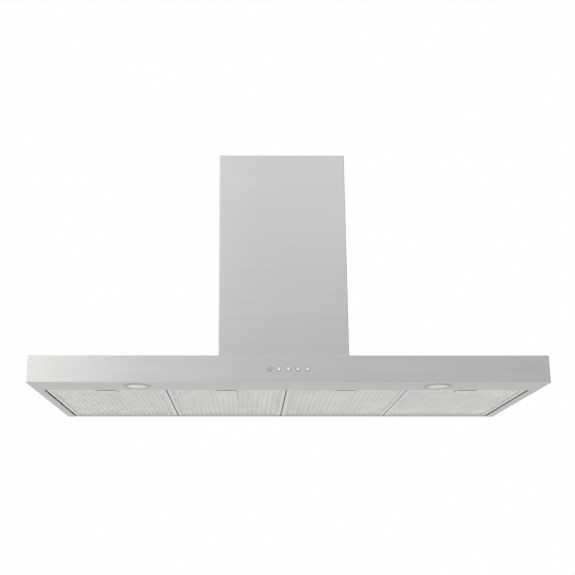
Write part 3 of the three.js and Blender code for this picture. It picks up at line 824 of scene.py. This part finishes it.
def diamond_sheet(name, low, high, level, centre):
    """One ribbed layer of expanded mesh: diamonds turned into flat strands."""
    half_x, half_y = MESH_CELL[0] / 2, MESH_CELL[1] / 2
    columns = int((high.x - low.x) / half_x)
    rows = int((high.y - low.y) / half_y)
    start_x = (low.x + high.x - columns * half_x) / 2
    start_y = (low.y + high.y - rows * half_y) / 2
    bm = bmesh.new()
    points = {}

    def point(a, b):
        if (a, b) not in points:
            x, y = start_x + a * half_x, start_y + b * half_y
            points[a, b] = bm.verts.new((x, y, level + wave(x - centre)))
        return points[a, b]

    for a in range(1, columns):
        for b in range(1, rows):
            x, y = start_x + a * half_x, start_y + b * half_y
            if (a + b) % 2 and not in_latch_room(x, y, centre, low.y):
                bm.faces.new((point(a - 1, b), point(a, b - 1), point(a + 1, b), point(a, b + 1)))
    sheet = object_from(name, bm, clean=False)
    strands = sheet.modifiers.new("strands", "WIREFRAME")
    strands.thickness = STRAND * MM
    strands.use_even_offset = False
    strands.use_replace = True
    bake_modifiers(sheet)
    return sheet


def ribbed_core(name, low, high, level, centre):
    """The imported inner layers, drawn as one thin ribbed sheet with room for the latch."""
    step = RIB_PITCH / 8
    columns = int((high.x - low.x) / step)
    start = (low.x + high.x - columns * step) / 2
    rows = [low.y, low.y + PAD_DEPTH + LATCH_ROOM, high.y]
    bm = bmesh.new()
    grid = []
    for a in range(columns + 1):
        x = start + a * step
        grid.append([bm.verts.new((x, y, level + wave(x - centre))) for y in rows])
    for a in range(columns):
        for b in range(len(rows) - 1):
            x = start + (a + 0.5) * step
            if not in_latch_room(x, (rows[b] + rows[b + 1]) / 2, centre, low.y):
                bm.faces.new((grid[a][b], grid[a + 1][b], grid[a + 1][b + 1], grid[a][b + 1]))
    loose = [vert for vert in bm.verts if not vert.link_faces]
    bmesh.ops.delete(bm, geom=loose, context="VERTS")
    sheet = object_from(name, bm, clean=False)
    thick = sheet.modifiers.new("thickness", "SOLIDIFY")
    thick.thickness = 0.6 * MM
    thick.offset = 0
    bake_modifiers(sheet)
    return sheet


def filter_layers(i):
    """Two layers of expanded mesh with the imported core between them."""
    low, high = corners(f"filter_frame_{i}")
    centre = (low.x + high.x) / 2
    inner_low = Vector((low.x + MESH_INSET, low.y + MESH_INSET, 0))
    inner_high = Vector((high.x - MESH_INSET, high.y - TAB_REACH - MESH_INSET, 0))
    for layer, height in LAYER_HEIGHTS.items():
        draw = ribbed_core if layer == "core" else diamond_sheet
        sheet = draw(f"mesh_{layer}_{i}", inner_low, inner_high, low.z + height, centre)
        look, degrees = (LOOK["layers"], 32) if layer == "core" else (LOOK["expanded_mesh"], 50)
        replaced = [f"filter_mesh_{i}"] if layer == "lower" else []
        finish_piece(sheet, f"filter_{i}", "expanded_mesh", *replaced, looks=[look], degrees=degrees)


def latch(i):
    """The latch: a plate that slides in the pad, its tongue and a folded finger tab."""
    low, high = corners(f"filter_latch_{i}")
    x = (low.x + high.x) / 2
    front = corners(f"filter_frame_{i}")[0].y
    bottom, under = high.z - SHEET, 0.02
    plate = box(f"latch_plate_{i}", (low.x, front + 8.6, bottom), (high.x, high.y, high.z), 0.5, 3)
    outline = rounded_rectangle(x - 9, x + 9, low.y, front + 12, 1.6)
    tongue = prism("tool", outline, "z", bottom + 0.05, high.z - 0.05)
    path = [(front + 14, high.z - under), (front + 8, high.z - under), (front + 8, low.z)]
    tab = prism("tool", ribbon(path, SHEET, 0.8), "x", x - 16, x + 16)
    join(plate, tongue, tab)
    finish_piece(plate, f"latch_{i}", "latch_steel", f"filter_latch_{i}")


def filters():
    for i in FILTERS:
        filter_frame(i)
        filter_layers(i)
        latch(i)


# ---- lamps


def lamps():
    """The two lamps and the driver that feeds them. Profiles are measured from the canopy's underside."""
    bezel = [
        (22.5, -0.55), (22.9, -1.0), (23.6, -1.2), (29.2, -1.3), (30.6, -1.22), (31.5, -0.95), (32.0, -0.4),
        (32.0, -0.3), (27.4, -0.3), (27.4, 16), (25.2, 16), (25.2, 0.2), (22.5, -0.3),
    ]
    dome = [(22.3 * math.sin(a), -0.4 - 0.75 * math.cos(a)) for a in (1.57, 1.3, 1.05, 0.8, 0.5, 0.2)]
    diffuser = [(0, 1.4), (24.6, 1.4), (24.6, 0.3), *dome, (0, -1.15)]
    for name, _ in SIDES:
        at = middle(f"lamp_lens_{name}")
        centre = (at.x, at.y, 0)
        ring = lathe(f"lamp_ring_{name}", moved(bezel, BOTTOM), "z", centre, 96)
        look = turned(f"turned_bezel_{name}", (0.5, 0.5, 0.49), centre, 2, 0.34)
        finish_piece(ring, "hood", "lamp_trim", f"lamp_bezel_{name}", looks=[look], degrees=40)
        lens = lathe(f"lamp_diffuser_{name}", moved(diffuser, BOTTOM), "z", centre, 96)
        finish_piece(lens, "hood", "opal_lens", f"lamp_lens_{name}", degrees=50)
        heat_sink(name, centre)

    low, high = corners("lamp_driver")
    case = box("driver_case", (low.x + 6, low.y, low.z), (high.x - 6, high.y, high.z), 2.0, 4)
    finish_piece(case, "hood", "black_plastic", "lamp_driver")
    bm = bmesh.new()
    for x in (low.x, high.x - 6):
        for k in range(3):
            y = low.y + 20.5 + k * 8
            add_box(bm, (x, y, low.z + 4), (x + 6, y + 7.4, low.z + 14), 0.8, 2)
    terminals = object_from("driver_terminals", bm)
    finish_piece(terminals, "hood", "black_plastic", looks=[LOOK["grey_plastic"]])


def heat_sink(name, centre):
    """The lamp's finned body above the strip."""
    profile = [
        (0, 1.9), (24.5, 1.9), (24.5, 16.3), (27.5, 16.5), (27.5, 18.3), (8, 18.3), (8, 33.4), (7.4, 34),
        (0, 34),
    ]
    base = lathe(f"lamp_heat_sink_{name}", moved(profile, BOTTOM), "z", centre, 64)
    fins = []
    for k in range(-3, 4):
        y = centre[1] + k * 7
        reach = math.sqrt(26.5**2 - (k * 7) ** 2)
        fin_high = (centre[0] + reach, y + 0.9, BOTTOM + 36)
        fins.append(block((centre[0] - reach, y - 0.9, BOTTOM + 18), fin_high, 0.4))
    join(base, *fins)
    finish_piece(base, "hood", "heat_sink", f"lamp_housing_{name}")


# ---- controls


def controls():
    """The guide behind the front with a raised collar round each button, the board and the buttons."""
    low, high = corners("button_guide")
    guide = box("button_frame", (low.x, FRONT + 1.8, low.z), (high.x, FRONT + 4.8, high.z), 0.8, 3)
    lip = BUTTON_RADIUS + 1
    profile = [(0, 4), (lip, 4), (lip, -0.35), (lip - 0.1, -0.55), (lip - 0.3, -0.6), (0, -0.6)]
    rings, bores = [], []
    for i in BUTTONS:
        at = middle(f"button_{i}")
        rings.append(lathe("tool", moved(profile, FRONT), "y", (at.x, 0, at.z), 48))
        bores.append(cylinder("y", (at.x, at.z), BUTTON_RADIUS + 0.25, FRONT - 3, FRONT + 7))
    join(guide, *rings)
    cut(guide, *bores)
    finish_piece(guide, "hood", "button_trim", "button_guide", looks=[LOOK["screw_steel"]])
    dress("control_board", LOOK["board"], 0.15)
    for i in BUTTONS:
        button(i)


def button_bar(name, half_length, half_height, start, end, centre):
    """A short bar with round ends on the first button's face, turned about the button's axis."""
    radius = half_height - 0.05
    outline = rounded_rectangle(-half_length, half_length, -half_height, half_height, radius, 4)
    bar = prism(name, outline, "y", FRONT + start, FRONT + end)
    bar.data.transform(Matrix.Rotation(math.radians(FIRST_BUTTON_TURN), 4, "Y"))
    bar.data.transform(Matrix.Translation(Vector(centre) * MM))
    bar.data.update()
    return bar


def button(i):
    """A turned push button with a dished face and a collar behind the front sheet.

    The first one is duller and has a sunk grey bar."""
    at = middle(f"button_{i}")
    centre = (at.x, 0, at.z)
    shoulder = BUTTON_RADIUS + 1.7
    profile = [
        (0, -0.35), (0.8, -0.4), (1.15, -0.9), (1.4, -0.98), (2.9, -1.05), (3.5, -1.18), (4.05, -1.2),
        (4.35, -1.08), (BUTTON_RADIUS, -0.8), (BUTTON_RADIUS, 5.1), (shoulder, 5.3), (shoulder, 6.6),
        (2.0, 6.6), (2.0, 8.4), (1.6, 8.5), (0, 8.5),
    ]
    cap = lathe(f"button_cap_{i}", moved(profile, FRONT), "y", centre, 64)
    body = f"push_button_{i}"
    if i > 1:
        look = turned(f"turned_button_{i}", (0.86, 0.86, 0.85), centre, 1, 0.3)
        finish_piece(cap, body, "bright_button", f"button_{i}", looks=[look], degrees=30)
        return
    cut(cap, button_bar("tool", 3.2, 1.0, -2, -0.5, centre))
    look = turned("turned_first_button", (0.62, 0.62, 0.61), centre, 1, 0.36)
    finish_piece(cap, body, "dark_button", f"button_{i}", looks=[look], degrees=30)
    inlay = button_bar(f"button_inlay_{i}", 3.1, 0.9, -0.72, -0.4, centre)
    finish_piece(inlay, body, "dark_button", looks=[LOOK["grey_plastic"]])


# ---- chimney


def cover(name, low, high, sheet, flange, bend):
    """A cover bent from one sheet: front, two sides and two narrow flanges along the wall."""
    half, front, back = high.x, low.y, high.y
    path = [(half - flange, back), (half, back), (half, front)]
    path += [(-x, y) for x, y in reversed(path)]
    return prism(name, ribbon(path, sheet, bend - sheet, 8), "z", low.z, high.z)


def chimney():
    looks = [LOOK["cover"], LOOK["cover_side"]]
    lower = cover("chimney_outer", CHIMNEY_LOW, CHIMNEY_HIGH, sheet=1.2, flange=18, bend=2.5)
    finish_piece(lower, "hood", "brushed_steel", "chimney_lower", looks=looks)
    second_material_sideways(lower)

    upper = cover("chimney_inner", UPPER_LOW, UPPER_HIGH, sheet=1.0, flange=14, bend=1.8)
    louvres = []
    for k in range(6):
        z = UPPER_HIGH.z - 40 - k * 12
        louvres.append(prism("tool", rounded_rectangle(-180, -60, z, z + 5, 2.4, 5), "x", -200, 200))
    cut(upper, *louvres)
    finish_piece(upper, "upper_chimney", "brushed_steel", "chimney_upper", looks=looks)
    second_material_sideways(upper)
    dress("chimney_bracket", LOOK["galvanised_steel"], 0.35)
    for name, _ in SIDES:
        pan_screw(f"bracket_bolt_{name}", "upper_chimney", f"bracket_screw_{name}")


# ---- blower


def blower_box():
    """The box round the blower, open at the air hole and under the collar, with riveted seams."""
    sheet = Vector((1.2, 1.2, 1.2))
    low, high = BOX_LOW, BOX_HIGH
    case = box("blower_case", low, high, 2.2, 4)
    inner = block(low + sheet, high - sheet, 1.0)
    mouth = block((-AIR_HALF, AIR_FRONT, low.z - 2), (AIR_HALF, AIR_BACK, low.z + 4))
    outlet = block((-71, COLLAR_Y - 70, high.z - 3), (71, COLLAR_Y + 70, high.z + 3))
    cut(case, inner, mouth, outlet)
    finish_piece(case, "hood", "galvanised_steel", "blower_box")

    rivet = [(0, 0.02), (3.0, 0.02), (2.7, -0.5), (1.8, -0.95), (0.7, -1.2), (0, -1.2)]
    seams = [("y", (x, 0)) for x in (-140, -70, 0, 70, 140)] + [("x", (0, y)) for y in (-200, -122, -44)]
    bm = bmesh.new()
    for axis, spot in seams:
        near, far = (low.y, high.y) if axis == "y" else (low.x, high.x)
        for z in (low.z + 10, high.z - 10):
            add_lathe(bm, moved(rivet, near), axis, (*spot, z), 20)
            add_lathe(bm, moved(rivet, far, -1), axis, (*spot, z), 20)
    finish_piece(object_from("case_rivets", bm), "hood", "pressed_aluminium")


def spiral(inset, top):
    """Scroll outline in (y, z): a spiral from the cut-off round to the back, then up to the outlet."""
    start, end, cutoff, steps = 86.0, 108.0, 75.0, 96
    points = []
    for i in range(steps + 1):
        angle = math.radians(cutoff + (360 - cutoff) * i / steps)
        radius = start + (end - start) * i / steps - inset
        points.append((SCROLL_Y + radius * math.cos(angle), SCROLL_Z + radius * math.sin(angle)))
    points.append((SCROLL_Y + end - inset, top))
    points.append((SCROLL_Y - 34 + inset, top))
    return points


def scroll():
    top = corners("scroll_housing")[1].z
    housing = prism("scroll_case", spiral(0, top), "x", -SCROLL_HALF, SCROLL_HALF)
    room = prism("tool", spiral(SHEET, top + 5), "x", -SCROLL_HALF + SHEET, SCROLL_HALF - SHEET)
    hole = cylinder("x", (SCROLL_Y, SCROLL_Z), INLET_RADIUS, -SCROLL_HALF - 3, SCROLL_HALF + 3, 96)
    cut(housing, room, hole)
    finish_piece(housing, "hood", "galvanised_steel", "scroll_housing", degrees=25)
    cone = [
        (INLET_RADIUS, 0), (82, 0), (82, 1.3), (70.5, 1.5), (69.3, 2.4), (68.3, 4.3), (67.3, 5), (66.4, 4.8),
        (INLET_RADIUS, 3.6),
    ]
    for name, side in SIDES:
        profile = moved(cone, side * (SCROLL_HALF + 0.3), side)
        ring = lathe(f"inlet_cone_{name}", profile, "x", (0, SCROLL_Y, SCROLL_Z), 96)
        finish_piece(ring, "hood", "pressed_aluminium", f"inlet_ring_{name}", degrees=40)


def blade_outline(angle):
    """A forward-curved blade's section in (y, z)."""
    inner, outer, thick, steps = 64.6, 77.4, 0.9, 6
    near, far = [], []
    for k in range(steps + 1):
        share = k / steps
        radius = inner + (outer - inner) * share
        lean = angle + math.radians(10 * share * share + 1.5 * share)
        for points, turn in ((near, lean), (far, lean + thick / radius)):
            points.append((SCROLL_Y + radius * math.cos(turn), SCROLL_Z + radius * math.sin(turn)))
    return near + list(reversed(far))


def fan_wheel():
    """A double-inlet wheel: curved blades between end rings and a middle disc on a hub."""
    half, blades = 65.0, 44
    bm = bmesh.new()
    for k in range(blades):
        outline = blade_outline(2 * math.pi * k / blades)
        add_prism(bm, outline, "x", -half + 1, -0.9)
        add_prism(bm, outline, "x", 0.9, half - 1)
    centre = (0, SCROLL_Y, SCROLL_Z)
    ring = [(64, -2.2), (78, -2.2), (78, 0), (76.5, 0), (75.8, -1), (66.2, -1), (65.5, 0), (64, 0)]
    for side in (-1, 1):
        add_lathe(bm, moved(ring, side * half, side), "x", centre, 96)
    disc = [(4.3, -14), (11.5, -14), (13, -12.5), (13, -2.5), (15, -1), (78, -1)]
    add_lathe(bm, disc + list(reversed(moved(disc, 0, -1))), "x", centre, 96)
    wheel = object_from("wheel_blades", bm)
    finish_piece(wheel, "fan_wheel", "grey_plastic", "impeller", degrees=30)
    dress("motor_shaft", LOOK["shaft"], 0.5)


def motor():
    """The motor's round body with cooling grooves, and its bracket."""
    profile = [
        (4.3, -119), (11.2, -119), (12, -118), (12, -114.5), (28.5, -114), (30, -112.8), (30, -104.5),
        (40.6, -104), (42, -102.6), (42, -89),
    ]
    for k in range(9):
        x = -88 + k * 5.4
        profile += [(42, x), (42, x + 2.6), (40.4, x + 3.1), (40.4, x + 4.9)]
    profile += [
        (42, -38.6), (42, -35.4), (40.6, -34), (30, -33.6), (30, -25.2), (28.5, -24), (12, -23.6), (12, -19),
        (11.2, -18), (4.3, -18),
    ]
    body = lathe("motor_body", profile, "x", (0, SCROLL_Y, SCROLL_Z), 72)
    finish_piece(body, "hood", "motor_paint", "motor", degrees=28)
    dress("motor_bracket", LOOK["galvanised_steel"], 0.4)


# ---- outlet and electrics


def collar():
    """The duct collar on its square flange, with a bead, a seat for the flaps and the flap pin."""
    low, high = corners("duct_collar")
    outer, inner, seat = 75.0, 73.5, 70.5
    flange = box("collar_flange", (-78, low.y, low.z), (78, high.y, low.z + 1.5), 0.6, 3)
    profile = [
        (seat, low.z + 0.01),
        (outer, low.z + 0.01),
        *moved([(outer, 12), (74.4, 13), (74.4, 15), (outer, 16)], PIN_Z),
        *moved([(outer, -1.2), (74.6, -0.1), (74.2, 0), (73.9, 0), (inner, -0.5)], high.z),
        *moved([(inner, -3.6), (seat, -3.6), (seat, -5.6), (inner, -5.6)], PIN_Z),
        (inner, low.z + 4),
        (seat, low.z + 2),
    ]
    tube = lathe("tool", profile, "z", (0, COLLAR_Y, 0), 128)
    cut(flange, cylinder("z", (0, COLLAR_Y), seat, low.z - 3, low.z + 4, 128))
    join(flange, tube)
    cut(flange, cylinder("x", (COLLAR_Y, PIN_Z), 2.0, -90, 90, 24))
    finish_piece(flange, "hood", "black_plastic", "duct_collar", degrees=30)
    dress("flap_pin", LOOK["shaft"], 0.3)
    flap("front", -1, (-50, 10))
    flap("rear", 1, (-10, 50))
    head = [(0, 1.5), (3.6, 1.5), (3.6, 2.1), (2.6, 3.2), (1.2, 3.5), (1.0, 2.6), (0, 2.6)]
    spots = [(x, y, low.z) for x in (-71, 71) for y in (low.y + 7, high.y - 7)]
    screws("collar_screws", head, "z", spots)


def flap(name, side, eyes):
    """Half a disc with stiffening ribs and two eyes round the pin."""
    radius, clear = 72.8, 4.0
    low = PIN_Z - 3.2
    start = 180 if side < 0 else 0
    edge = math.degrees(math.asin(clear / radius))
    points = arc((0, COLLAR_Y), radius, start + edge, start + 180 - edge, 48)
    plate = prism(f"flap_plate_{name}", points, "z", low, low + 1.2)
    tools = []
    for x in (-36, 0, 36):
        reach = math.sqrt((radius - 4) ** 2 - x * x)
        near, far = sorted((COLLAR_Y + side * (clear + 4), COLLAR_Y + side * reach))
        tools.append(block((x - 0.7, near, low + 1), (x + 0.7, far, low + 2.6), 0.3))
    for x in eyes:
        near, far = sorted((COLLAR_Y + side * 1.8, COLLAR_Y + side * (clear + 3)))
        tools.append(block((x - 6, near, low), (x + 6, far, low + 1.2)))
        tools.append(cylinder("x", (COLLAR_Y, PIN_Z), 3.2, x - 6, x + 6, 32))
    join(plate, *tools)
    cut(plate, cylinder("x", (COLLAR_Y, PIN_Z), 1.8, -90, 90, 24))
    finish_piece(plate, f"{name}_flap", "grey_plastic", f"flap_{name}", degrees=30)


def junction_box():
    low, high = corners("junction_box")
    case = box("junction_case", low, high, 2.0, 4)
    room = block(low + Vector((2, 2, 2)), (high.x - 2, high.y - 2, high.z + 6), 1.0)
    at = middle("cable_gland")
    cut(case, room, cylinder("y", (at.x, at.z), 6.3, high.y - 5, high.y + 4, 32))
    finish_piece(case, "hood", "black_plastic", "junction_box")

    low, high = corners("junction_box_cover")
    lid = box("junction_lid", (low.x, low.y, high.z - 2), high, 0.8, 3)
    wells = [(x, y) for x in (low.x + 7, high.x - 7) for y in (low.y + 7, high.y - 7)]
    cut(lid, *[cylinder("z", spot, 3.4, high.z - 1.2, high.z + 2, 32) for spot in wells])
    finish_piece(lid, "hood", "black_plastic", "junction_box_cover")
    head = [(0, -1), (2.9, -1), (2.9, -0.5), (2.2, 0), (1.1, 0), (0.9, -0.6), (0, -0.6)]
    screws("lid_screws", head, "z", [(*spot, high.z - 0.1) for spot in wells])


def cable_gland():
    """The gland for the mains cord, with a six-sided nut."""
    low, high = corners("cable_gland")
    at = middle("cable_gland")
    bore = 4.0
    profile = [
        *moved([(bore, 0), (6, 0), (6, 11), (8.5, 11)], low.y),
        *moved([(8.5, -3), (7.6, -0.8), (6.2, 0), (4.6, 0), (bore, -0.6)], high.y),
    ]
    body = lathe("gland_body", profile, "y", (at.x, 0, at.z), 48)
    nut = prism("tool", arc((at.x, at.z), 10, 0, 300, 5), "y", low.y + 4.4, low.y + 9)
    cut(nut, cylinder("y", (at.x, at.z), bore + 0.5, low.y + 2, low.y + 10, 32))
    join(body, nut)
    finish_piece(body, "hood", "grey_plastic", "cable_gland")


def capacitor():
    """The motor's capacitor: a can with a rolled end on a flat foot."""
    low, high = corners("capacitor")
    profile = [
        *moved([(0, 0), (14.6, 0), (15.6, 0.6), (16, 1.8)], low.y),
        *moved([(16, -6), (15.4, -5.4), (15.4, -4.6), (16, -4), (15.6, -3), (10, -3)], high.y),
        *moved([(10, -0.6), (9.4, 0), (0, 0)], high.y),
    ]
    can = lathe("capacitor_can", profile, "y", ((low.x + high.x) / 2, 0, low.z + 17.5), 64)
    join(can, block((low.x, low.y + 18, low.z), (high.x, low.y + 42, low.z + 5.5), 0.8))
    finish_piece(can, "hood", "grey_plastic", "capacitor")


# ---- studio


def studio_floor():
    """A wide pale floor under the hood, which fades into the white backdrop far away."""
    shader = Shader("pale_floor", (0.82, 0.82, 0.82), 0.0, 0.7)
    shader.tint(shader.noise(3, detail=4), 0.985, 1.01)
    glow = shader.node("ShaderNodeEmission", {"Color": (1, 1, 1, 1)})
    mix = shader.node("ShaderNodeMixShader")
    length = shader.node("ShaderNodeVectorMath", operation="LENGTH")
    shader.wire(shader.place(), length.inputs["Vector"])
    fade = shader.ranged(length.outputs["Value"], 0.0, 1.0, 2.5, 9.0)
    seen = shader.node("ShaderNodeLightPath").outputs["Is Camera Ray"]
    shader.wire(shader.math("MULTIPLY", fade, seen), mix.inputs["Fac"])
    shader.wire(shader.surface.outputs["BSDF"], mix.inputs[1])
    shader.wire(glow.outputs["Emission"], mix.inputs[2])
    output = next(n for n in shader.tree.nodes if n.type == "OUTPUT_MATERIAL")
    shader.wire(mix.outputs["Shader"], output.inputs["Surface"])

    bm = bmesh.new()
    bmesh.ops.create_circle(bm, cap_ends=True, radius=30000, segments=96)
    floor = object_from("studio_floor", bm, clean=False)
    floor.location.z = FLOOR_HEIGHT
    floor.data.materials.append(shader.material)


def studio_world():
    """A soft light tent, which the camera itself sees as plain white."""
    world = bpy.data.worlds.new("light_tent")
    bpy.context.scene.world = world
    world.use_nodes = True
    world.node_tree.nodes.clear()
    tent = Nodes(world.node_tree)
    where = tent.node("ShaderNodeTexCoord").outputs["Generated"]
    total = TENT_BASE
    for direction, start, end, strength in TENT.values():
        towards = {1: Vector(direction).normalized()}
        along = tent.node("ShaderNodeVectorMath", towards, operation="DOT_PRODUCT")
        tent.wire(where, along.inputs[0])
        limits = {"From Min": start, "From Max": end, "To Max": strength}
        lobe = tent.node("ShaderNodeMapRange", limits, interpolation_type="SMOOTHSTEP")
        tent.wire(along.outputs["Value"], lobe.inputs["Value"])
        total = tent.math("ADD", total, lobe.outputs["Result"])
    lit = tent.node("ShaderNodeBackground", {"Color": (1, 1, 1, 1)})
    seen = tent.node("ShaderNodeBackground", {"Color": (1, 1, 1, 1)})
    mix = tent.node("ShaderNodeMixShader")
    tent.wire(total, lit.inputs["Strength"])
    tent.wire(tent.node("ShaderNodeLightPath").outputs["Is Camera Ray"], mix.inputs["Fac"])
    tent.wire(lit.outputs["Background"], mix.inputs[1])
    tent.wire(seen.outputs["Background"], mix.inputs[2])
    tent.wire(mix.outputs["Shader"], tent.node("ShaderNodeOutputWorld").inputs["Surface"])


def panel_light(name, place, aim, size, watts):
    data = bpy.data.lights.new(name, "AREA")
    data.shape = "RECTANGLE"
    data.size, data.size_y = size
    data.energy = watts
    lamp = link(name, data)
    lamp.location = place
    lamp.rotation_euler = (Vector(aim) - Vector(place)).to_track_quat("-Z", "Y").to_euler()


def studio():
    scene = bpy.context.scene
    scene.view_settings.view_transform = "Standard"
    scene.view_settings.look = "None"
    studio_floor()
    studio_world()
    for name, place, aim, size, watts in SOFTBOXES:
        panel_light(name, place, aim, size, watts)


def camera():
    """The viewpoint below and in front of the hood, a little left of its middle."""
    data = bpy.data.cameras.new("camera")
    data.lens = CAMERA_LENS
    data.sensor_width = 36
    data.shift_x, data.shift_y = CAMERA_SHIFT
    made = link("camera", data)
    made.location = CAMERA_PLACE
    made.rotation_euler = (math.radians(CAMERA_PITCH), 0, math.radians(CAMERA_TURN))
    bpy.context.scene.camera = made


camera()
studio()
canopy()
back_panel()
hooks()
filters()
lamps()
controls()
chimney()
blower_box()
scroll()
fan_wheel()
motor()
collar()
junction_box()
cable_gland()
capacitor()
